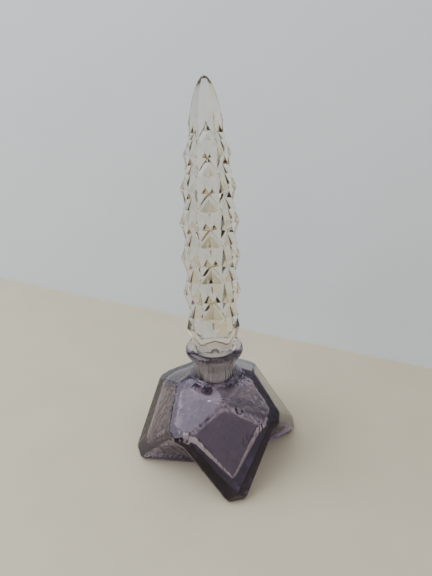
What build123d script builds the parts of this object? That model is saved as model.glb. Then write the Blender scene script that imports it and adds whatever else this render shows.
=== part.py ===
"""Four-legged faceted glass perfume bottle with a tall diamond-cut stopper and its dauber.

Millimetres, +Z up. The origin is on the table under the middle of the bottle. The four legs
point along +X, +Y, -X and -Y. Three pieces: the bottle (one piece of pressed glass with its
neck and collar), the stopper (a cut head with a ground plug) and the dauber (a glass rod in
the plug).
"""
from build123d import *
from math import cos, pi, radians, sin
import os

# Overall size
total_height = 143.0
leg_reach = 33.8            # axis to the lower corner of each leg's kite-shaped face

# Bottle body: corners of the facets, seen along one leg
shoulder_height = 32.3      # square shoulder, corners on the legs' axes
shoulder_reach = 16.1
kite_side_out = 21.2        # side corners of the kite, measured along the leg
kite_side_half = 16.2       # and across it
band_height = 3.8           # smooth vertical band under the kite's side corners
band_flare = 0.8            # how far the band leans out on its way down
kite_foot_height = 4.7      # lower corner of the kite
toe_undercut = 1.5          # the toe leans in by this much down to the table
toe_half_width = 3.1        # half the toe's edge on the table
notch_reach = 15.3          # notch of the star-shaped footprint, between two legs
edge_round = 0.8            # softened edges of the pressed facets, below the shoulder
wall = 4.5                  # glass thickness of the faceted shell
floor_thickness = 4.5

# Neck, collar and mouth
bore_top_radius = 6.5       # top of the ground taper that holds the plug
bore_taper = 0.45           # the bore narrows by this much in radius down the ground length
ground_length = 10.4
neck_wall = 1.7
neck_length = 9.2           # straight neck, between its foot and the collar
shoulder_rise = 3.3         # the shoulder turns from square to round over this height
neck_foot_flare = 1.5       # the round top of the shoulder is this much wider than the neck
neck_fillet = 1.3
collar_overhang = 2.8       # the collar stands this far out from the neck
collar_height = 3.6
collar_round = 2.0
round_limit = 0.48          # each rounding takes at most this share of the collar's height
mouth_flare = 2.1           # the mouth opens by this much above the ground length
mouth_depth = 3.0

# Stopper head: rows of diamonds round a slender bud shape
head_radius = 10.5
widest_rise = 29.6          # widest place, measured up from the collar
tip_power = 2.8             # fullness of the bud above the widest place
tip_root = 0.85             # and how bluntly it closes
foot_power = 5              # below the widest place it narrows slowly, then quickly
foot_narrowing = 0.25       # to this share off the radius at the collar
diamonds = 6                # diamonds in each row, every other row turned by half a diamond
half_rows = 13
first_row_rise = 7.7        # lowest row of points, measured up from the collar
last_row_drop = 13.1        # highest row of points, measured down from the top
row_bunching = 0.24         # rows stand closer towards the tip
groove_ratio = 0.80         # radius where two grooves cross over radius at a diamond's point
tip_length = 9.7            # plain six-sided tip
tip_radius = 4.7
tip_levels = (0.25, 0.48, 0.68, 0.84, 0.95)
tip_bulge = 0.5             # how full the tip is between its foot and its point
foot_rise = 1.0             # underside of the cut head, above the collar
foot_flare = 1.5            # the foot is this much wider than the top of the bore
stopper_twist = -9.0        # turn of the cut pattern about the axis, degrees

# Plug and dauber
joint_gap = 0.05            # radial clearance of the ground joint and of the dauber's socket
plug_length = 9.6           # ground part of the plug, inside the bore
plug_chamfer = 0.6
socket_depth = 7.0
socket_end_gap = 0.3
dauber_radius = 1.5
dauber_floor_gap = 4.5      # the rod ends this far above the floor of the cavity
dauber_end_share = 0.9      # rounding of the rod's lower end over its radius

# Working values that leave no trace on the finished pieces
lap = 1.0                   # how far a cutter or a root runs past the face it meets
near = 0.01                 # two heights or radii closer than this are the same

# Heights and radii that follow from the sizes above
neck_radius = bore_top_radius + neck_wall
neck_foot_radius = neck_radius + neck_foot_flare
neck_foot_height = shoulder_height + shoulder_rise
collar_radius = neck_radius + collar_overhang
collar_top = neck_foot_height + neck_length + collar_height
joint_top = collar_top - mouth_depth
bore_low_height = joint_top - ground_length
bore_low_radius = bore_top_radius - bore_taper
plug_low_height = joint_top - plug_length
head_low = collar_top + foot_rise
foot_radius = bore_top_radius + foot_flare
widest_height = collar_top + widest_rise
blank = 3 * leg_reach       # a block that the faceted body is cut from
air_block = 2 * blank


def on_leg(out, across, height):
    """A point given along, across and above leg 0, the one along +X."""
    return Vector(out, across, height)


def over_valley(point):
    """The mirror image of a corner of leg 0 on leg 1, over the valley between them."""
    return Vector(point.Y, point.X, point.Z)


def over_leg(point):
    """The mirror image of a corner on the other side of leg 0."""
    return Vector(point.X, -point.Y, point.Z)


def plane_through(a, b, c):
    """The plane through three corners, with its normal pointing away from the middle."""
    normal = (b - a).cross(c - a).normalized()
    inside = Vector(0, 0, shoulder_height / 2)
    if normal.dot(a - inside) < 0:
        normal = -normal
    return Plane(origin=a, z_dir=normal)


# Corners of the faceted body on leg 0, on the side towards leg 1
kite_top = on_leg(shoulder_reach, 0, shoulder_height)
kite_foot = on_leg(leg_reach, 0, kite_foot_height)
kite_slope = (shoulder_height - kite_foot_height) / (leg_reach - shoulder_reach)
kite_side_height = shoulder_height - kite_slope * (kite_side_out - shoulder_reach)
kite_side = on_leg(kite_side_out, kite_side_half, kite_side_height)
band_out = kite_side_out + band_flare
band_low = on_leg(band_out, kite_side_half + band_flare, kite_side_height - band_height)
toe_ground = on_leg(leg_reach - toe_undercut, toe_half_width, 0)
notch = on_leg(notch_reach * cos(pi / 4), notch_reach * sin(pi / 4), 0)

kite_face = plane_through(kite_top, kite_side, over_leg(kite_side))
band_face = plane_through(kite_foot, kite_side, band_low)
band_face_other = plane_through(kite_foot, over_leg(kite_side), over_leg(band_low))
toe_face = Plane(origin=toe_ground, z_dir=(kite_foot_height, 0, -toe_undercut))
valley_face = plane_through(kite_top, over_valley(kite_top), kite_side)
undercut_face = plane_through(toe_ground, band_low, notch)
undercut_face_other = plane_through(over_valley(toe_ground), over_valley(band_low), notch)
arch_face = plane_through(band_low, over_valley(band_low), notch)


def undercut(inset):
    """The air under the arch between leg 0 and leg 1, moved inwards by inset."""
    air = Pos(air_block / 2, air_block / 2, 0) * Box(air_block, air_block, air_block)
    for face in (undercut_face, undercut_face_other, arch_face):
        air = split(air, bisect_by=face.offset(-inset), keep=Keep.TOP)
    return air


def faceted_body(inset, floor):
    """The faceted body, with every face moved inwards by inset, standing on floor."""
    height = shoulder_height - inset - floor
    body = Pos(0, 0, floor + height / 2) * Box(blank, blank, height)
    for quarter in range(4):
        for face in (kite_face, band_face, band_face_other, toe_face, valley_face):
            body = split(body, bisect_by=face.offset(-inset), keep=Keep.BOTTOM)
        body = Rot(0, 0, 90) * body
    for quarter in range(4):
        body -= Rot(0, 0, 90 * quarter) * undercut(inset)
    return body


def make_bottle():
    """The pressed bottle: faceted body, square-to-round shoulder, neck, collar, cavity and bore."""
    body = faceted_body(0, 0)
    square = Pos(0, 0, shoulder_height) * RegularPolygon(shoulder_reach, 4)
    circle = Pos(0, 0, neck_foot_height) * Circle(neck_foot_radius)
    body += loft([square, circle])
    facet_edges = [edge for edge in body.edges() if edge.center().Z < shoulder_height - near]
    body = fillet(facet_edges, edge_round)

    neck_height = shoulder_rise + neck_length
    neck = Pos(0, 0, shoulder_height + neck_height / 2) * Cylinder(neck_radius, neck_height)
    glass = body + neck
    circles = glass.edges().filter_by(GeomType.CIRCLE)
    at_foot = [edge for edge in circles if abs(edge.center().Z - neck_foot_height) < near]
    glass = fillet([edge for edge in at_foot if edge.radius < neck_radius + near], neck_fillet)

    collar = Pos(0, 0, collar_top - collar_height / 2) * Cylinder(collar_radius, collar_height)
    rounding = min(collar_round, round_limit * collar_height)
    collar = fillet(collar.edges().filter_by(GeomType.CIRCLE), rounding)
    glass += collar

    cavity = faceted_body(wall, floor_thickness)
    cavity_top = shoulder_height - wall
    bore_outline = Polyline(
        (0, cavity_top - lap),
        (bore_low_radius, cavity_top - lap),
        (bore_low_radius, bore_low_height),
        (bore_top_radius, joint_top),
        (bore_top_radius + mouth_flare, collar_top),
        (bore_top_radius + mouth_flare, collar_top + lap),
        (0, collar_top + lap),
        close=True,
    )
    bore = revolve(make_face(Plane.XZ * bore_outline), Axis.Z)
    return glass - cavity - bore


def ridge_radius(height):
    """Outer radius of the diamond-cut head, over the points of the diamonds."""
    if height > widest_height:
        above = (height - widest_height) / (total_height - widest_height)
        return head_radius * (1 - above**tip_power) ** tip_root
    below = (widest_height - height) / (widest_height - collar_top)
    return head_radius * (1 - foot_narrowing * below**foot_power)


def row_height(row):
    """Height of one half row of the lattice, closer together towards the tip."""
    share = row / (half_rows - 1)
    bunched = share + row_bunching * share * (1 - share)
    lowest = collar_top + first_row_rise
    return lowest + (total_height - last_row_drop - lowest) * bunched


def ring(radii, height):
    """Corners round the head at one height, one for each radius in the list."""
    points = []
    for step, radius in enumerate(radii):
        angle = radians(stopper_twist + 360 * step / len(radii))
        points.append(Vector(radius * cos(angle), radius * sin(angle), height))
    return points


def facet(*corners):
    """One flat facet."""
    return Face(Wire.make_polygon(corners, close=True))


def diamond_rows():
    """Rings of corners up the cut head, point and groove by turns, then the tip's lowest ring."""
    count = 2 * diamonds
    rows = []
    for row in range(half_rows):
        height = row_height(row)
        ridge = ridge_radius(height)
        radii = [ridge if (step + row) % 2 == 0 else ridge * groove_ratio for step in range(count)]
        rows.append(ring(radii, height))
    flat_middle = cos(pi / diamonds)
    tip_radii = [tip_radius if step % 2 == 0 else tip_radius * flat_middle for step in range(count)]
    rows.append(ring(tip_radii, total_height - tip_length))
    return rows


def lattice_facets(rows):
    """Two triangles for each cell between two rows, folded along the groove between diamonds."""
    facets = []
    count = 2 * diamonds
    for row in range(half_rows):
        low, high = rows[row], rows[row + 1]
        for step in range(count):
            after = (step + 1) % count
            if (step + row) % 2 == 0:
                facets.append(facet(low[step], low[after], high[step]))
                facets.append(facet(low[after], high[after], high[step]))
            else:
                facets.append(facet(low[step], low[after], high[after]))
                facets.append(facet(low[step], high[after], high[step]))
    return facets


def foot_facets(lowest_row):
    """The underside of the head and the facets from it up to the lowest row."""
    count = 2 * diamonds
    foot = ring([foot_radius] * count, head_low)
    facets = [facet(*foot)]
    for step in range(count):
        after = (step + 1) % count
        peak, groove = (step, after) if step % 2 == 0 else (after, step)
        facets.append(facet(lowest_row[peak], lowest_row[groove], foot[groove]))
        facets.append(facet(lowest_row[peak], foot[groove], foot[peak]))
    return facets


def tip_facets(low_ring):
    """The plain tip: curved panels that meet in a point, each a stack of flat facets."""
    levels = []
    for level in tip_levels:
        height = total_height - tip_length * (1 - level)
        levels.append(ring([tip_radius * (1 - level) ** tip_bulge] * diamonds, height))
    facets = []
    for step in range(diamonds):
        after = (step + 1) % diamonds
        low = [low_ring[2 * step], low_ring[2 * step + 1], low_ring[2 * after]]
        facets.append(facet(*low, levels[0][after], levels[0][step]))
        for lower, upper in zip(levels, levels[1:]):
            facets.append(facet(lower[step], lower[after], upper[after], upper[step]))
        facets.append(facet(levels[-1][step], levels[-1][after], Vector(0, 0, total_height)))
    return facets


def make_stopper():
    """The cut head with its round foot and ground plug, drilled for the dauber."""
    rows = diamond_rows()
    head = Solid(Shell(foot_facets(rows[0]) + lattice_facets(rows) + tip_facets(rows[-1])))
    plug_low_radius = bore_top_radius - bore_taper * plug_length / ground_length - joint_gap
    bead_radius = foot_radius * cos(pi / diamonds / 2)
    plug_outline = Polyline(
        (0, plug_low_height),
        (plug_low_radius - plug_chamfer, plug_low_height),
        (plug_low_radius, plug_low_height + plug_chamfer),
        (bore_top_radius - joint_gap, joint_top),
        (bead_radius, collar_top),
        (bead_radius, head_low + lap),
        (0, head_low + lap),
        close=True,
    )
    plug = revolve(make_face(Plane.XZ * plug_outline), Axis.Z)
    socket_height = plug_low_height + socket_depth / 2
    socket = Pos(0, 0, socket_height) * Cylinder(dauber_radius + joint_gap, socket_depth)
    return head + plug - socket


def make_dauber():
    """The round glass rod, with a fire-rounded lower end."""
    low_height = floor_thickness + dauber_floor_gap
    length = plug_low_height + socket_depth - socket_end_gap - low_height
    rod = Pos(0, 0, low_height + length / 2) * Cylinder(dauber_radius, length)
    low_end = rod.edges().filter_by(GeomType.CIRCLE).sort_by(Axis.Z)[0]
    return fillet(low_end, dauber_radius * dauber_end_share)


os.makedirs("parts", exist_ok=True)
pieces = {"bottle": make_bottle(), "stopper": make_stopper(), "dauber": make_dauber()}
for name, piece in pieces.items():
    piece.label = name
    export_step(piece, os.path.join("parts", name + ".step"))
    print(name, "volume", round(piece.volume), "mm3, valid", piece.is_valid)
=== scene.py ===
# %% [markdown]
# A dressing-table perfume bottle: a pressed glass bottle on four pointed legs, a tall
# diamond-cut stopper and the thin glass rod, the dauber, that hangs from it.
# Everything is glass, so the work is in three places: crisp facets whose edges are a
# little soft, walls of a true thickness for the light to bend through, and glass whose
# colour comes from its depth. The measured model is loaded first and is never changed.

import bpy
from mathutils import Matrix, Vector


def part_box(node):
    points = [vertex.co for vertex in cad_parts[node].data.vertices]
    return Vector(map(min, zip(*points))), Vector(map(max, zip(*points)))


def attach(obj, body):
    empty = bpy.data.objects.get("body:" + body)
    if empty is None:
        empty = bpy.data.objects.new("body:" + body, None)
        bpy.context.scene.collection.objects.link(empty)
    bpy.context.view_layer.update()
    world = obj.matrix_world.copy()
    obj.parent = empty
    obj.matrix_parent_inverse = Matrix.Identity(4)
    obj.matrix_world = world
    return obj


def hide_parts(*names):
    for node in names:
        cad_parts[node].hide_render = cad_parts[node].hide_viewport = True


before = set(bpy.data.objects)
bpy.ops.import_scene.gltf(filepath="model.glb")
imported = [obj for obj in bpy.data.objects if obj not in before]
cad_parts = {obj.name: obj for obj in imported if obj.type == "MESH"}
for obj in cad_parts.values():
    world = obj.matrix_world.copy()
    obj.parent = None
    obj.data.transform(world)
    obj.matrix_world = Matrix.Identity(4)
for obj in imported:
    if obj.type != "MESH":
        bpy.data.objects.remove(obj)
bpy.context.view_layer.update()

from math import atan2, ceil, cos, pi, radians, sin, sqrt

import bmesh
import bpy
from mathutils import Matrix, Vector, noise

MM = 0.001
bottle_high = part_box("bottle")[1]
stopper_low, stopper_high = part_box("stopper")
dauber_low, dauber_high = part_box("dauber")

# %% [markdown]
# The camera stands a hand's length from the bottle and looks down on it, as a person does
# who leans over the table. A wide lens this close makes the near leg large and the far
# shoulder small. A camera can be aimed with a constraint, but three turns in order (a small
# roll, the pitch, then the heading) say exactly what the lens does.

# %% Camera
camera_data = bpy.data.cameras.new("camera")
camera_data.sensor_fit = "VERTICAL"
camera_data.sensor_height = 36.0
camera_data.lens = 30.55
camera_data.clip_start = 0.005
camera = bpy.data.objects.new("camera", camera_data)
bpy.context.scene.collection.objects.link(camera)

camera_out = 157.4 * MM        # from the bottle's axis, measured along the table
camera_height = 151.7 * MM
camera_side = radians(-10.95)  # round from straight in front of one leg
camera_yaw = radians(0.52)
camera_pitch = 0.467           # down from level, in radians
camera_roll = 0.034            # in radians
camera.location = Matrix.Rotation(camera_side, 3, "Z") @ Vector((0, -camera_out, camera_height))
heading = Matrix.Rotation(camera_side - camera_yaw, 4, "Z")
tilt = Matrix.Rotation(pi / 2 - camera_pitch, 4, "X")
roll = Matrix.Rotation(-camera_roll, 4, "Z")
camera.matrix_world = Matrix.Translation(camera.location) @ heading @ tilt @ roll
bpy.context.scene.camera = camera
print("camera at", [round(c / MM) for c in camera.location], "mm")

# %% [markdown]
# A finish is a small tree of nodes. Writing one node at a time is long and hard to read,
# so a little workbench does it: `node` makes any node from its type, its settings and its
# sockets, and a `Wire` is an output that can be added, multiplied or subtracted in plain
# Python, each sign adding the Math node it stands for. `1 - mask` then reads as it should.

# %% A workbench for finishes
class Wire:
    """One output of a node, which can be used in sums."""

    def __init__(self, bench, socket):
        self.bench = bench
        self.socket = socket

    def other(self, name):
        """Another output of the same node."""
        return Wire(self.bench, self.socket.node.outputs[name])

    def _sum(self, operation, first, second):
        return self.bench.node("ShaderNodeMath", {"operation": operation}, {0: first, 1: second})

    def __add__(self, value):
        return self._sum("ADD", self, value)

    def __sub__(self, value):
        return self._sum("SUBTRACT", self, value)

    def __rsub__(self, value):
        return self._sum("SUBTRACT", value, self)

    def __mul__(self, value):
        return self._sum("MULTIPLY", self, value)

    __radd__ = __add__
    __rmul__ = __mul__


class Finish:
    """A material and the nodes that make it."""

    def __init__(self, name):
        self.material = bpy.data.materials.new(name)
        self.material.use_nodes = True
        self.tree = self.material.node_tree
        self.tree.nodes.clear()

    def node(self, kind, settings=None, sockets=None):
        """Makes a node, sets it up, joins or fills its sockets and returns its first output."""
        made = self.tree.nodes.new(kind)
        for name, value in (settings or {}).items():
            setattr(made, name, value)
        for name, value in (sockets or {}).items():
            if isinstance(value, Wire):
                self.tree.links.new(value.socket, made.inputs[name])
            else:
                made.inputs[name].default_value = value
        return Wire(self, made.outputs[0]) if made.outputs else None

    def place(self, *stretch):
        """Where a point of the piece is, in metres, stretched by a factor along each axis."""
        here = self.node("ShaderNodeTexCoord").other("Object")
        return self.node("ShaderNodeMapping", None, {"Vector": here, "Scale": stretch})

    def clouds(self, size, detail=2.0, stretch=(1, 1, 1)):
        """Soft random patches of about that size (m), from 0 to 1."""
        sockets = {"Vector": self.place(*stretch), "Scale": 1 / size, "Detail": detail}
        return self.node("ShaderNodeTexNoise", None, sockets)

    def mark(self, name):
        """A number painted on the piece's points."""
        return self.node("ShaderNodeAttribute", {"attribute_name": name}).other("Fac")

    def blend(self, share, colour, other_colour):
        """A colour between two, by a share from 0 to 1."""
        sockets = {0: share, 6: (*colour, 1), 7: (*other_colour, 1)}
        return self.node("ShaderNodeMix", {"data_type": "RGBA"}, sockets).other(2)


# %% [markdown]
# The stage is a pale painted table and a pale wall set at an angle behind it. Both have
# faint cloudy patches, because a perfectly even colour looks like no material at all.

# %% Table and wall
def flat_panel(name, centre, width, depth, turn=0.0, upright=False):
    """A large flat panel, lying down or standing up, turned about its centre."""
    bm = bmesh.new()
    bmesh.ops.create_grid(bm, x_segments=1, y_segments=1, size=0.5)
    bmesh.ops.scale(bm, vec=(width, depth, 1), verts=bm.verts)
    if upright:
        bmesh.ops.rotate(bm, matrix=Matrix.Rotation(pi / 2, 3, "X"), verts=bm.verts)
    bmesh.ops.rotate(bm, matrix=Matrix.Rotation(turn, 3, "Z"), verts=bm.verts)
    bmesh.ops.translate(bm, vec=centre, verts=bm.verts)
    mesh = bpy.data.meshes.new(name)
    bm.to_mesh(mesh)
    bm.free()
    panel = bpy.data.objects.new(name, mesh)
    bpy.context.scene.collection.objects.link(panel)
    return panel


def painted(name, colour, other_colour, roughness, patch):
    """Flat paint with faint cloudy patches."""
    finish = Finish(name)
    tint = finish.blend(finish.clouds(patch, 4.0), colour, other_colour)
    surface = {"Base Color": tint, "Roughness": roughness}
    shader = finish.node("ShaderNodeBsdfPrincipled", None, surface)
    finish.node("ShaderNodeOutputMaterial", None, {"Surface": shader})
    return finish.material


air_gap = 0.05 * MM            # under the bottle, so that its foot is a free glass surface
panel_width = 3.0
table = flat_panel("table", (0, 0, -air_gap), panel_width, panel_width)
sand = (0.61, 0.54, 0.40)
dark_sand = (0.52, 0.46, 0.34)
table.data.materials.append(painted("table paint", sand, dark_sand, roughness=0.55, patch=0.03))

wall_distance = 86.9 * MM      # from the bottle's axis, square to the wall
wall_heading = radians(53.0)
wall_height = 1.5
wall_middle = Vector(
    (wall_distance * cos(wall_heading), wall_distance * sin(wall_heading), wall_height / 2)
)
wall = flat_panel("wall", wall_middle, panel_width, wall_height, wall_heading - pi / 2, upright=True)
mist = (0.78, 0.83, 0.87)
dark_mist = (0.72, 0.77, 0.81)
wall.data.materials.append(painted("wall paint", mist, dark_mist, roughness=0.5, patch=0.05))

# %% [markdown]
# The light is soft: a large cool panel like a window high on the left, a weaker warm one
# overhead, another far out in front for the rest of the room, and a dim sky all round.
# Glass shows mostly what is around it. In an even bright room it would look like nothing
# at all, so all but the window is kept dim.

# %% Light
lit_point = Vector((0, 0, 0.05))


def soft_panel(name, place, size, power, colour):
    """A square area light that faces the bottle."""
    data = bpy.data.lights.new(name, "AREA")
    data.shape = "SQUARE"
    data.size = size
    data.energy = power
    data.color = colour
    light = bpy.data.objects.new(name, data)
    light.location = place
    light.rotation_euler = (lit_point - Vector(place)).to_track_quat("-Z", "Y").to_euler()
    bpy.context.scene.collection.objects.link(light)


soft_panel("window", (-0.55, 0.05, 0.65), size=0.8, power=8.0, colour=(0.90, 0.95, 1.0))
soft_panel("ceiling", (0.05, -0.1, 0.9), size=0.7, power=2.4, colour=(1.0, 0.97, 0.93))
soft_panel("front", (0.15, -0.95, 0.45), size=0.9, power=2.2, colour=(1.0, 0.95, 0.92))

room = bpy.data.worlds.new("room")
room.use_nodes = True
sky = room.node_tree.nodes["Background"].inputs
sky["Color"].default_value = (0.90, 0.93, 1.0, 1)
sky["Strength"].default_value = 0.30
bpy.context.scene.world = room

# %% [markdown]
# Now the two kinds of glass. Coloured glass is not painted: light loses a little of its
# green and yellow in every millimetre, so thin walls look lilac and thick corners nearly
# black. The right tool is an absorbing volume inside a clear surface. The surface itself
# is pressed in an iron mould, so it is slightly wavy, and the inside is wavier still, with
# upright streaks and a faint veil drawn out along them. Its gleam is a little violet, as
# it is in dark glass. Where the stopper is ground into the neck both pieces are frosted.
# Marks painted on the mesh say which points are inside and which are ground.

# %% Glass
swell_size = 7 * MM            # waves of the pressed surface
streak_size = 2.2 * MM         # across the upright streaks of the inside
streak_stretch = (1, 1, 0.12)
veil_size = 1.6 * MM
veil_stretch = (1, 1, 0.08)
veil_shade = (0.30, 0.24, 0.30)
smudge_size = 9 * MM
smudge_haze = 0.05
grit_size = 0.25 * MM          # scratches of the grinding
grit_height = 0.02
ground_haze = 0.45
glass_ior = 1.52


def glass(name, tint, depth, haze, wave, streak, gleam):
    """Clear surface, absorbing inside. `depth` is how fast the tint takes hold, per metre."""
    finish = Finish(name)
    ground = finish.mark("ground")
    inside = finish.mark("inside")
    smudges = finish.clouds(smudge_size, 3.0)
    roughness = haze + smudges * smudge_haze * (1 - ground) + ground * ground_haze
    swell = finish.clouds(swell_size, 1.0) * wave
    streaks = finish.clouds(streak_size, 2.0, streak_stretch) * inside * streak
    grit = finish.clouds(grit_size, 2.0) * ground * grit_height
    bumps = {"Strength": 1.0, "Distance": MM, "Height": swell + streaks + grit}
    veil = finish.clouds(veil_size, 3.0, veil_stretch) * inside * (streak / 2)
    surface = {
        "Base Color": finish.blend(veil, (1, 1, 1), veil_shade),
        "Roughness": roughness,
        "Transmission Weight": 1.0,
        "IOR": glass_ior,
        "Specular Tint": (*gleam, 1),
        "Normal": finish.node("ShaderNodeBump", None, bumps),
    }
    shader = finish.node("ShaderNodeBsdfPrincipled", None, surface)
    body = finish.node("ShaderNodeVolumeAbsorption", None, {"Color": (*tint, 1), "Density": depth})
    finish.node("ShaderNodeOutputMaterial", None, {"Surface": shader, "Volume": body})
    return finish.material


amethyst = glass(
    "amethyst glass",
    tint=(0.43, 0.33, 0.50),
    depth=150.0,
    haze=0.01,
    wave=0.14,
    streak=1.0,
    gleam=(0.88, 0.76, 0.90),
)
crystal = glass(
    "clear glass",
    tint=(0.89, 0.84, 0.73),
    depth=75.0,
    haze=0.005,
    wave=0.02,
    streak=0.05,
    gleam=(1, 1, 1),
)
print("finishes:", amethyst.name, "and", crystal.name)

# %% [markdown]
# Some shapes come up again and again: a ring of points, a skin between two rings, and a
# profile of arcs and straight lines turned about the axis. They are kept as small helpers
# that add to an open bmesh, Blender's editable mesh. Two rings of the same count join with
# four-sided faces.

# %% Rings and skins
def points_round(radius, height, count):
    """A circle of points about the upright axis."""
    angles = [2 * pi * i / count for i in range(count)]
    return [Vector((radius * cos(angle), radius * sin(angle), height)) for angle in angles]


def skin(bm, low, high):
    """Four-sided faces between two closed rings of the same count."""
    count = len(low)
    for i in range(count):
        after = (i + 1) % count
        bm.faces.new((low[i], low[after], high[after], high[i]))


def turned(bm, start, profile, last=None):
    """Skins from the ring `start` through the circles of a profile (mm), and on to a last ring."""
    ring = start
    angles = [atan2(vert.co.y, vert.co.x) for vert in start]
    for radius, height in profile:
        reach = radius * MM
        after = [bm.verts.new((reach * cos(a), reach * sin(a), height * MM)) for a in angles]
        skin(bm, ring, after)
        ring = after
    if last:
        skin(bm, ring, last)
    return ring


def arc(centre_radius, centre_height, radius, first, last, steps=5):
    """Points of a profile round a small circle, from one angle to another in degrees."""
    made = []
    for i in range(steps + 1):
        angle = radians(first + (last - first) * i / steps)
        made.append((centre_radius + radius * cos(angle), centre_height + radius * sin(angle)))
    return made


def line(start, end, steps):
    """Points of a profile along a straight line, all but its first."""
    made = []
    for i in range(1, steps + 1):
        share = i / steps
        radius = start[0] + (end[0] - start[0]) * share
        made.append((radius, start[1] + (end[1] - start[1]) * share))
    return made


# %% [markdown]
# A finished bmesh becomes an object. Smooth shading by itself would bend the light across
# the flat facets. A Weighted Normal modifier lets the large facets lead, so that they look
# flat and only the narrow strips between them look round. Its result is kept as the mesh.

# %% From a bmesh to a finished piece
facet_weight = 80              # how far the large facets lead the shading of the narrow strips


def as_piece(bm, name, material):
    """Closes the work on a bmesh: outward faces, an object, soft shading that keeps facets flat."""
    bmesh.ops.recalc_face_normals(bm, faces=bm.faces)
    mesh = bpy.data.meshes.new(name)
    bm.to_mesh(mesh)
    loose = sum(1 for edge in bm.edges if not edge.is_manifold)
    print(name, "points", len(bm.verts), "faces", len(bm.faces), "open or double edges", loose)
    bm.free()
    mesh.shade_smooth()
    piece = bpy.data.objects.new(name, mesh)
    bpy.context.scene.collection.objects.link(piece)
    weighted = piece.modifiers.new("flat facets", "WEIGHTED_NORMAL")
    weighted.weight = facet_weight
    bpy.context.view_layer.update()
    shaded = piece.evaluated_get(bpy.context.evaluated_depsgraph_get())
    piece.data = bpy.data.meshes.new_from_object(shaded)
    piece.modifiers.clear()
    piece.data.name = name
    piece.data.materials.clear()
    piece.data.materials.append(material)
    return piece


# %% [markdown]
# The bottle's body is all flat facets. Each leg has a kite-shaped face that runs from the
# square shoulder to the toe, a smooth band under its side corners, and a pebbled
# undercut below, so that the legs stand free with an arch between them. These could be cut
# from a block; here each corner is found as the place where three flat facets meet, which
# keeps every facet truly flat and lets the same sums give the outside of the glass and, a
# wall's thickness further in, its inside.

# %% Corners of a faceted shell
RING = 64                      # points round each ring of the bottle
LEGS = 4


def over_leg(point):
    """The same point on the other side of the leg along +X."""
    return Vector((point.x, -point.y, point.z))


def over_valley(point):
    """The same point on the next leg, across the valley between them."""
    return Vector((point.y, point.x, point.z))


def facet_through(a, b, c):
    """A flat facet, as one of its points and the direction it faces."""
    return a, (b - a).cross(c - a).normalized()


def meet(*facets):
    """The corner shared by three flat facets."""
    facing = Matrix([direction for point, direction in facets])
    return facing.inverted() @ Vector([direction.dot(point) for point, direction in facets])


def shell_corners(shoulder, side, foot, band_low, toe, notch):
    """All the corners of the leg along +X and of the valley after it, from six of them (mm)."""
    given = (shoulder, side, foot, band_low, toe, notch)
    top, side, foot, band_low, toe, notch = (Vector(corner) * MM for corner in given)
    band = facet_through(foot, side, band_low)
    next_band = facet_through(over_valley(foot), over_valley(side), over_valley(band_low))
    valley = facet_through(top, over_valley(top), side)
    arch = facet_through(band_low, over_valley(band_low), notch)
    corners = {
        "top": top,
        "side": side,
        "side_right": over_leg(side),
        "foot": foot,
        "low": band_low,
        "low_right": over_leg(band_low),
        "toe": toe,
        "notch": notch,
        "ridge_top": meet(valley, band, next_band),
        "ridge_low": meet(arch, band, next_band),
    }
    if toe.y > 0:
        front = facet_through(foot, toe, over_leg(toe))
        undercut = facet_through(toe, band_low, notch)
        corners["toe_right"] = over_leg(toe)
        corners["toe_side"] = meet(front, band, undercut)
        corners["toe_side_right"] = over_leg(corners["toe_side"])
    return corners


# %% [markdown]
# A shell is those corners, turned to the four legs, with faces between them. Its top edge
# is a square of many points, because above it the square shoulder turns into the round
# neck: each further ring is a blend between the square and a circle.

# %% Faces of a shell
def on_square(reach, angle):
    """Distance from the axis to a square whose corners are on the legs, at an angle."""
    return reach / (abs(cos(angle)) + abs(sin(angle)))


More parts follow.
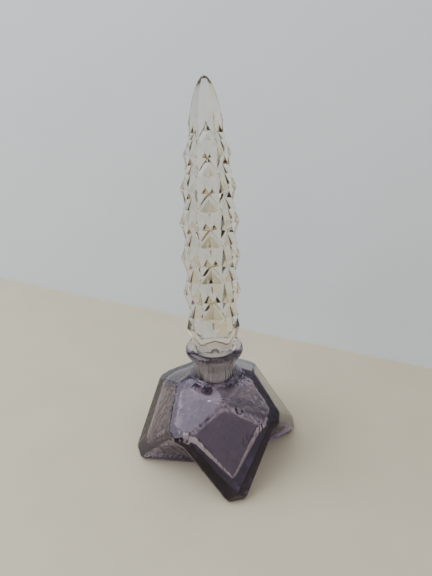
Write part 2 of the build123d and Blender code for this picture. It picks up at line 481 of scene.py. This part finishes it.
def shell(corners, crown, rim_mark):
    """An open shell: legs, valleys, arches, foot and the crown of rings up to a circle.

    `crown` gives for each ring the share of the way from the square to the circle, its height
    and the circle's radius (mm). The last ring's points carry a number in the layer "rim",
    counted up from `rim_mark`.
    """
    bm = bmesh.new()
    rim = bm.verts.layers.int.new("rim")
    quarter = RING // LEGS
    legs = []
    for leg in range(LEGS):
        turn = Matrix.Rotation(leg * pi / 2, 3, "Z")
        legs.append({name: bm.verts.new(turn @ p) for name, p in corners.items() if name != "top"})
    top = corners["top"]
    square = []
    for i in range(RING):
        angle = 2 * pi * i / RING
        reach = on_square(top.x, angle)
        square.append(bm.verts.new((reach * cos(angle), reach * sin(angle), top.z)))
    for leg, here in enumerate(legs):
        after = legs[(leg + 1) % LEGS]
        start = leg * quarter
        edge = [square[(start + i) % RING] for i in range(quarter + 1)]
        bm.faces.new((edge[0], here["side"], here["foot"], here["side_right"]))
        bm.faces.new((*reversed(edge), here["side"], here["ridge_top"], after["side_right"]))
        bm.faces.new((here["notch"], here["low"], here["ridge_low"], after["low_right"]))
        left = [here["foot"], here["side"], here["ridge_top"], here["ridge_low"], here["low"]]
        right = [after["foot"], after["side_right"], here["ridge_top"], here["ridge_low"]]
        right.append(after["low_right"])
        if "toe_side" in here:
            bm.faces.new((*left, here["toe_side"]))
            bm.faces.new((*right, after["toe_side_right"]))
            bm.faces.new((here["low"], here["notch"], here["toe"], here["toe_side"]))
            next_toe = (after["toe_right"], after["toe_side_right"])
            bm.faces.new((after["low_right"], here["notch"], *next_toe))
            front = ("foot", "toe_side", "toe", "toe_right", "toe_side_right")
            bm.faces.new([here[name] for name in front])
        else:
            bm.faces.new((*left, here["toe"]))
            bm.faces.new((*right, after["toe"]))
            bm.faces.new((here["low"], here["notch"], here["toe"]))
            bm.faces.new((after["low_right"], here["notch"], after["toe"]))
    under = []
    for here in legs:
        if "toe_right" in here:
            under.append(here["toe_right"])
        under += [here["toe"], here["notch"]]
    bm.faces.new(under)
    ring = square
    for share, height, radius in crown:
        made = []
        for i in range(RING):
            angle = 2 * pi * i / RING
            reach = on_square(top.x, angle) * (1 - share) + radius * MM * share
            made.append(bm.verts.new((reach * cos(angle), reach * sin(angle), height * MM)))
        skin(bm, ring, made)
        ring = made
    for i, point in enumerate(ring):
        point[rim] = rim_mark + i
    bmesh.ops.recalc_face_normals(bm, faces=bm.faces)
    return bm


# %% [markdown]
# Pressed glass has no knife edges: the mould and the fire polish leave each edge about a
# millimetre round. Those narrow round strips catch the light, so they are the most
# important detail on a faceted piece. A bevel with three steps makes them, before any
# fine surface is added, because a bevel wants few, long edges.

# %% Softened edges
def soften(bm, least_turn, width, steps, below=1000.0, above=0.0):
    """Rounds the edges between two heights (mm) where the surface turns by more than an angle."""
    bm.normal_update()
    edges = []
    for edge in bm.edges:
        heights = [vert.co.z / MM for vert in edge.verts]
        if len(edge.link_faces) < 2 or max(heights) > below or min(heights) < above:
            continue
        if edge.calc_face_angle() > radians(least_turn):
            edges.append(edge)
    bmesh.ops.bevel(
        bm,
        geom=edges,
        offset=width * MM,
        offset_type="OFFSET",
        segments=steps,
        profile=0.5,
        affect="EDGES",
        clamp_overlap=True,
    )
    return len(edges)


# %% [markdown]
# These are the outside's sizes. A corner that lies on the kite-shaped facet takes its
# height from the facet's slope, so one size can change without denting the facet.

# %% The outside of the bottle
shoulder_reach = 16.1          # of the square shoulder, along a leg (mm, as all sizes below)
shoulder_height = 32.3
leg_reach = 33.8
foot_height = 4.7              # where the kite ends and the toe begins
side_out = 21.2                # the kite's side corner, along the leg and across it
side_half = 16.2
band_height = 3.8
band_flare = 0.8
toe_undercut = 1.5
toe_half = 3.1
notch_out = 10.82              # foot of the arch, along each of two legs
kite_slope = (shoulder_height - foot_height) / (leg_reach - shoulder_reach)


def kite_height(out, depth=0.0):
    """Height of the kite-shaped facet, or of the flat `depth` under it, at a distance out."""
    surface = shoulder_height - kite_slope * (out - shoulder_reach)
    return surface - depth * sqrt(1 + kite_slope**2)


side_height = kite_height(side_out)
outer_corners = shell_corners(
    shoulder=(shoulder_reach, 0, shoulder_height),
    side=(side_out, side_half, side_height),
    foot=(leg_reach, 0, foot_height),
    band_low=(side_out + band_flare, side_half + band_flare, side_height - band_height),
    toe=(leg_reach - toe_undercut, toe_half, 0),
    notch=(notch_out, notch_out, 0),
)
neck_radius = 8.2
neck_foot_radius = 9.7
crown = [
    (0.35, 33.45, neck_foot_radius),
    (0.7, 34.6, neck_foot_radius),
    (1.0, 35.4, neck_foot_radius),
]
OUTER_RIM = 1
body = shell(outer_corners, crown, OUTER_RIM)
softened = soften(body, least_turn=12, width=0.55, steps=3, below=shoulder_height + 0.1)
print("outer shell: edges softened", softened)

# %% [markdown]
# Under the arches the mould was stippled, so the glass there is pebbled: low round bumps
# about a millimetre across that scatter the light and hide what is inside. On a
# silhouette and up close they must be real bumps, so each pebbled facet is sliced into a
# fine grid and its points are pushed out by a pattern of domes. The pattern is a cell
# noise: the distance to the nearest of many scattered points, turned into a dome.

# %% Pebbles under the arches
pebble_size = 1.25 * MM
pebble_height = 0.34 * MM
dome_reach = 0.62              # of a dome, as a share of the pebbles' size
slice_width = 0.3 * MM
border = 0.9 * MM


def sliced(bm, face):
    """Cuts a flat face into a fine grid, without opening it from its neighbours."""
    facing = face.normal.copy()
    along = facing.orthogonal().normalized()
    spans = []
    for direction in (along, facing.cross(along)):
        reach = [vert.co.dot(direction) for vert in face.verts]
        spans.append((direction, min(reach), max(reach)))
    part = [face, *face.edges, *face.verts]
    for direction, low, high in spans:
        for i in range(1, ceil((high - low) / slice_width)):
            place = direction * (low + i * slice_width)
            part = bmesh.ops.bisect_plane(bm, geom=part, plane_co=place, plane_no=direction)["geom"]
    return [item for item in part if isinstance(item, bmesh.types.BMVert)]


def dome(place):
    """Height of the pebbled surface at a place, from 0 to 1."""
    distance = noise.voronoi(place / pebble_size)[0][0]
    return max(0.0, 1 - (distance / dome_reach) ** 2)


def distance_to_edge(place, a, b):
    """Distance from a place to the straight edge between two corners."""
    share = max(0.0, min(1.0, (place - a).dot(b - a) / (b - a).length_squared))
    return (place - a.lerp(b, share)).length


def pebble(bm, face):
    """Slices one flat face and raises its pebbles, fading them out at its border."""
    facing = face.normal.copy()
    outline = [(edge.verts[0].co.copy(), edge.verts[1].co.copy()) for edge in face.edges]
    points = sliced(bm, face)
    for vert in points:
        gap = min(distance_to_edge(vert.co, a, b) for a, b in outline)
        fade = min(1.0, gap / border)
        fade = fade * fade * (3 - 2 * fade)
        vert.co += facing * (pebble_height * fade * dome(vert.co))
    return len(points)


undercut_area = 100 * MM * MM  # at least, so that the narrow round strips are left alone
undercuts = []
for face in body.faces:
    slopes_down = -0.9 < face.normal.z < -0.2
    if slopes_down and face.calc_area() > undercut_area:
        undercuts.append(face)
print("pebbled facets", len(undercuts), "points", sum(pebble(body, face) for face in undercuts))

# %% [markdown]
# Inside, the glass follows the outside about four and a half millimetres in, but a
# plunger shaped it, so the corners are much rounder. The same corner sums give it, with
# the toe brought to a point, and a wider bevel. Above, it flares in to the neck's bore.

# %% The inside of the glass
wall = 4.5
floor = 4.5
inner_shoulder = 13.64         # the inner corners, out along the leg
inner_side = 17.7
inner_foot = 27.0
cavity_top = kite_height(inner_shoulder, wall)
inner_corners = shell_corners(
    shoulder=(inner_shoulder, 0, cavity_top),
    side=(inner_side, 12.3, kite_height(inner_side, wall)),
    foot=(inner_foot, 0, kite_height(inner_foot, wall)),
    band_low=(17.9, 12.5, 17.4),
    toe=(26.3, 0, floor),
    notch=(7.6, 7.6, floor),
)
bore_low_radius = 6.05
bore_low_height = 35.0
flare_height = 31.0
flare_rings = 6
flare = []
for i in range(1, flare_rings + 1):
    angle = pi / 2 * (1 - i / flare_rings)
    ring_height = cavity_top + (flare_height - cavity_top) * (1 - sin(angle))
    flare.append((cos(angle), ring_height, bore_low_radius))
INNER_RIM = 1001
cavity = shell(inner_corners, flare, INNER_RIM)
softened = soften(cavity, least_turn=12, width=0.8, steps=4, below=cavity_top + 0.1)
print("cavity: edges softened", softened)

# %% [markdown]
# The neck was tooled from the same glass while it was hot: a short straight neck with a
# soft foot, and a rounded collar round the mouth. Inside is the ground taper that the
# plug sits in. A profile turned about the axis makes it, and both shells hang on it: its
# first ring is the outer shell's rim and its last is the cavity's.

# %% Neck, collar and bore
collar_radius = 11.0
collar_top = bottle_high.z / MM
collar_height = 3.6
collar_round = 1.7
neck_seat = 35.62              # top of the neck's soft foot
neck_middle = 40.6
foot_round = 0.5
neck_fillet = 1.2
collar_fillet = 0.5
bore_top_radius = 6.5
mouth_radius = 8.6
mouth_depth = 3.0
lip_round = 0.35
near = 0.1


def joined(target, source):
    """Adds a finished shell to another bmesh."""
    between = bpy.data.meshes.new("between")
    source.to_mesh(between)
    source.free()
    target.from_mesh(between)
    bpy.data.meshes.remove(between)


def rim_points(bm, rim_mark):
    """The points of a shell's last ring, in order."""
    rim = bm.verts.layers.int["rim"]
    found = {vert[rim]: vert for vert in bm.verts}
    return [found[rim_mark + i] for i in range(RING)]


def marked(bm, name, value):
    """Paints the same number on all the points there are so far."""
    layer = bm.verts.layers.float.new(name)
    for vert in bm.verts:
        vert[layer] = value


marked(body, "inside", 0.0)
marked(cavity, "inside", 1.0)
joined(body, cavity)

collar_low = collar_top - collar_height
joint_top = collar_top - mouth_depth
joint_foot = (bore_low_radius, bore_low_height)
profile = arc(neck_foot_radius - foot_round, neck_seat - foot_round, foot_round, 40, 90, 3)
profile += arc(neck_radius + neck_fillet, neck_seat + neck_fillet, neck_fillet, 270, 180, 6)
profile += [(neck_radius, neck_middle)]
profile += arc(neck_radius + collar_fillet, collar_low - collar_fillet, collar_fillet, 180, 90, 4)
profile += arc(collar_radius - collar_round, collar_low + collar_round, collar_round, -90, 0, 7)
profile += arc(collar_radius - collar_round, collar_top - collar_round, collar_round, 0, 84, 7)
profile += arc(mouth_radius + lip_round, collar_top - lip_round - 0.02, lip_round, 90, 145, 4)
profile += [(7.6, collar_top - 1.2), (7.0, collar_top - 2.1)]
profile += [(bore_top_radius + 0.12, joint_top + 0.2), (bore_top_radius - 0.02, joint_top - near)]
profile += line((bore_top_radius, joint_top), joint_foot, 8)
profile += [(bore_low_radius, bore_low_height - 0.4), (bore_low_radius, flare_height + 1.5)]
turned(body, rim_points(body, OUTER_RIM), profile, rim_points(body, INNER_RIM))

ground_layer = body.verts.layers.float.new("ground")
inside_layer = body.verts.layers.float["inside"]
for vert in body.verts:
    reach = vert.co.xy.length / MM
    height = vert.co.z / MM
    if reach < bore_top_radius + near and height > flare_height:
        in_joint = bore_low_height - near < height < joint_top + near
        vert[ground_layer] = 1.0 if in_joint else 0.0
        vert[inside_layer] = 1.0
bottle = as_piece(body, "bottle_glass", amethyst)

# %% [markdown]
# The stopper's head is cut all over in rows of six diamonds, every other row turned by half
# a diamond, on a bud shape that is widest low down and closes to a plain six-sided tip.
# Each diamond is a low pyramid with a groove along each of its four sides. The rows stand
# closer together towards the tip.

# %% The bud shape
diamonds = 6
cuts = 2 * diamonds
half_rows = 13
head_radius = 10.5
widest_height = collar_top + 29.6
total_height = stopper_high.z / MM
first_row_height = collar_top + 7.7
last_row_height = total_height - 13.1
row_bunching = 0.24
groove_ratio = 0.80
stopper_twist = radians(-9)
tip_power = 2.8                # how late the bud closes, and how bluntly
tip_root = 0.85
foot_narrowing = 0.25
foot_power = 5


def ridge_radius(height):
    """Radius over the points of the diamonds, at a height (mm)."""
    if height > widest_height:
        above = (height - widest_height) / (total_height - widest_height)
        return head_radius * (1 - above**tip_power) ** tip_root
    below = (widest_height - height) / (widest_height - collar_top)
    return head_radius * (1 - foot_narrowing * below**foot_power)


def row_height(row):
    """Height of a half row (mm), counted up from the foot."""
    share = row / (half_rows - 1)
    share += row_bunching * share * (1 - share)
    return first_row_height + (last_row_height - first_row_height) * share


def head_ring(bm, radii, height):
    """A ring of corners of the head, one for each radius in the list (mm)."""
    made = []
    for step, radius in enumerate(radii):
        angle = stopper_twist + 2 * pi * step / len(radii)
        made.append(bm.verts.new((radius * MM * cos(angle), radius * MM * sin(angle), height * MM)))
    return made


# %% [markdown]
# A ring of points goes high and low by turns, and the next ring up does the opposite. Two
# triangles fill each cell between them, folded along the groove, so the high points stand
# up as pyramids. The tip's six panels are bulged by short rings that shrink to a peak, and
# the foot is a row of plain cuts.

# %% The cut head
tip_length = 9.7
tip_radius = 4.7
tip_levels = (0.25, 0.48, 0.68, 0.84, 0.95)
tip_bulge = 0.5
stopper_foot_height = collar_top + 1.0
stopper_foot_radius = 8.0

head = bmesh.new()
rows = []
for row in range(half_rows):
    ridge = ridge_radius(row_height(row))
    radii = [ridge if (step + row) % 2 == 0 else ridge * groove_ratio for step in range(cuts)]
    rows.append(head_ring(head, radii, row_height(row)))
tip_foot = [tip_radius if step % 2 == 0 else tip_radius * cos(pi / diamonds) for step in range(cuts)]
rows.append(head_ring(head, tip_foot, total_height - tip_length))
for row in range(half_rows):
    low, high = rows[row], rows[row + 1]
    for step in range(cuts):
        after = (step + 1) % cuts
        if (step + row) % 2 == 0:
            head.faces.new((low[step], low[after], high[step]))
            head.faces.new((low[after], high[after], high[step]))
        else:
            head.faces.new((low[step], low[after], high[after]))
            head.faces.new((low[step], high[after], high[step]))

low_ring = rows[-1]
rings = []
for level in tip_levels:
    height = total_height - tip_length * (1 - level)
    rings.append(head_ring(head, [tip_radius * (1 - level) ** tip_bulge] * diamonds, height))
peak = head.verts.new((0, 0, total_height * MM))
for step in range(diamonds):
    after = (step + 1) % diamonds
    base = (low_ring[2 * step], low_ring[2 * step + 1], low_ring[2 * after])
    head.faces.new((*base, rings[0][after], rings[0][step]))
    for lower, upper in zip(rings, rings[1:]):
        head.faces.new((lower[step], lower[after], upper[after], upper[step]))
    head.faces.new((rings[-1][step], rings[-1][after], peak))

foot = head_ring(head, [stopper_foot_radius] * cuts, stopper_foot_height)
for step in range(cuts):
    after = (step + 1) % cuts
    point, groove = (step, after) if step % 2 == 0 else (after, step)
    head.faces.new((rows[0][point], rows[0][groove], foot[groove]))
    head.faces.new((rows[0][point], foot[groove], foot[point]))

# %% [markdown]
# A cut edge is sharper than a pressed one, but it is still polished: a seventh of a
# millimetre, just enough to give each edge its own glint. Below the head come the round
# foot and the ground plug, with a hole drilled up it for the dauber.

# %% Polished edges, foot and plug
softened = soften(head, least_turn=8, width=0.14, steps=2, above=stopper_foot_height + near)
print("stopper head: edges polished", softened)


def open_edges(bm):
    """The edges that have a face on one side only."""
    return [edge for edge in bm.edges if len(edge.link_faces) == 1]


bmesh.ops.subdivide_edges(head, edges=open_edges(head), cuts=3)
foot_ring = list({vert for edge in open_edges(head) for vert in edge.verts})
foot_ring.sort(key=lambda vert: atan2(vert.co.y, vert.co.x))
plug_low = stopper_low.z / MM
joint_gap = 0.05
plug_top_radius = bore_top_radius - joint_gap
joint_taper = (bore_top_radius - bore_low_radius) / (joint_top - bore_low_height)
plug_low_radius = plug_top_radius - joint_taper * (joint_top - plug_low)
plug_round = 0.6
dauber_radius = dauber_high.x / MM
socket_radius = dauber_radius + joint_gap
socket_chamfer = 0.15
socket_top = plug_low + 7.0
bead_radius = 7.73             # of the round bead just under the twelve-sided foot

plug_profile = [
    (bead_radius, stopper_foot_height - 0.02),
    (bead_radius - 0.02, stopper_foot_height - 0.3),
    (7.5, collar_top - 0.4),
    (6.8, collar_top - 2.0),
    (plug_top_radius, joint_top),
]
plug_profile += line((plug_top_radius, joint_top), (plug_low_radius, plug_low + plug_round), 6)
plug_profile += arc(plug_low_radius - plug_round, plug_low + plug_round, plug_round, 0, -90, 4)
plug_profile += [(socket_radius + socket_chamfer, plug_low), (socket_radius, plug_low + socket_chamfer)]
plug_profile += [(socket_radius, socket_top - 0.2), (dauber_radius - 0.15, socket_top)]
head.faces.new(turned(head, foot_ring, plug_profile))
ground_layer = head.verts.layers.float.new("ground")
for vert in head.verts:
    reach = vert.co.xy.length / MM
    height = vert.co.z / MM
    if reach > 2 * socket_radius and height < joint_top + near:
        vert[ground_layer] = 1.0
stopper = as_piece(head, "stopper_glass", crystal)

# %% [markdown]
# The dauber is a drawn glass rod, cemented into the plug and melted round at its end so
# that it doesn't scratch. A drawn rod is never quite even, so its radius swells and
# shrinks by a few hundredths along its length.

# %% Dauber
rod = bmesh.new()
rod_low = dauber_low.z / MM
rod_high = dauber_high.z / MM
end_round = 1.35
end_radius = 0.1
rod_sides = 32
rod_steps = 24
unevenness = 0.03
swells = 17                    # how fast the radius swells and shrinks, over the whole rod
cement_haze = 0.6

rod_profile = arc(dauber_radius - end_round, rod_low + end_round, end_round, -80, 0, 8)
for i in range(1, rod_steps):
    share = i / rod_steps
    height = rod_low + end_round + (rod_high - rod_low - end_round) * share
    rod_profile.append((dauber_radius - unevenness * (1 - cos(share * swells)), height))
rod_profile += [(dauber_radius - 0.1, rod_high - 0.1), (dauber_radius - 0.25, rod_high)]
first = [rod.verts.new(p) for p in points_round(end_radius * MM, rod_low * MM, rod_sides)]
rod.faces.new(first)
rod.faces.new(turned(rod, first, rod_profile))
ground_layer = rod.verts.layers.float.new("ground")
for vert in rod.verts:
    vert[ground_layer] = cement_haze if vert.co.z / MM > plug_low + 1 else 0.0
dauber = as_piece(rod, "dauber_rod", crystal)

# %% [markdown]
# Last, each piece is given to the body it moves with and takes the measured piece's place
# in the picture.

# %% Hand over to the frame
for piece, node, slot in (
    (bottle, "bottle", "amethyst_glass"),
    (stopper, "stopper", "clear_glass"),
    (dauber, "dauber", "clear_glass"),
):
    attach(piece, node)
    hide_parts(node)
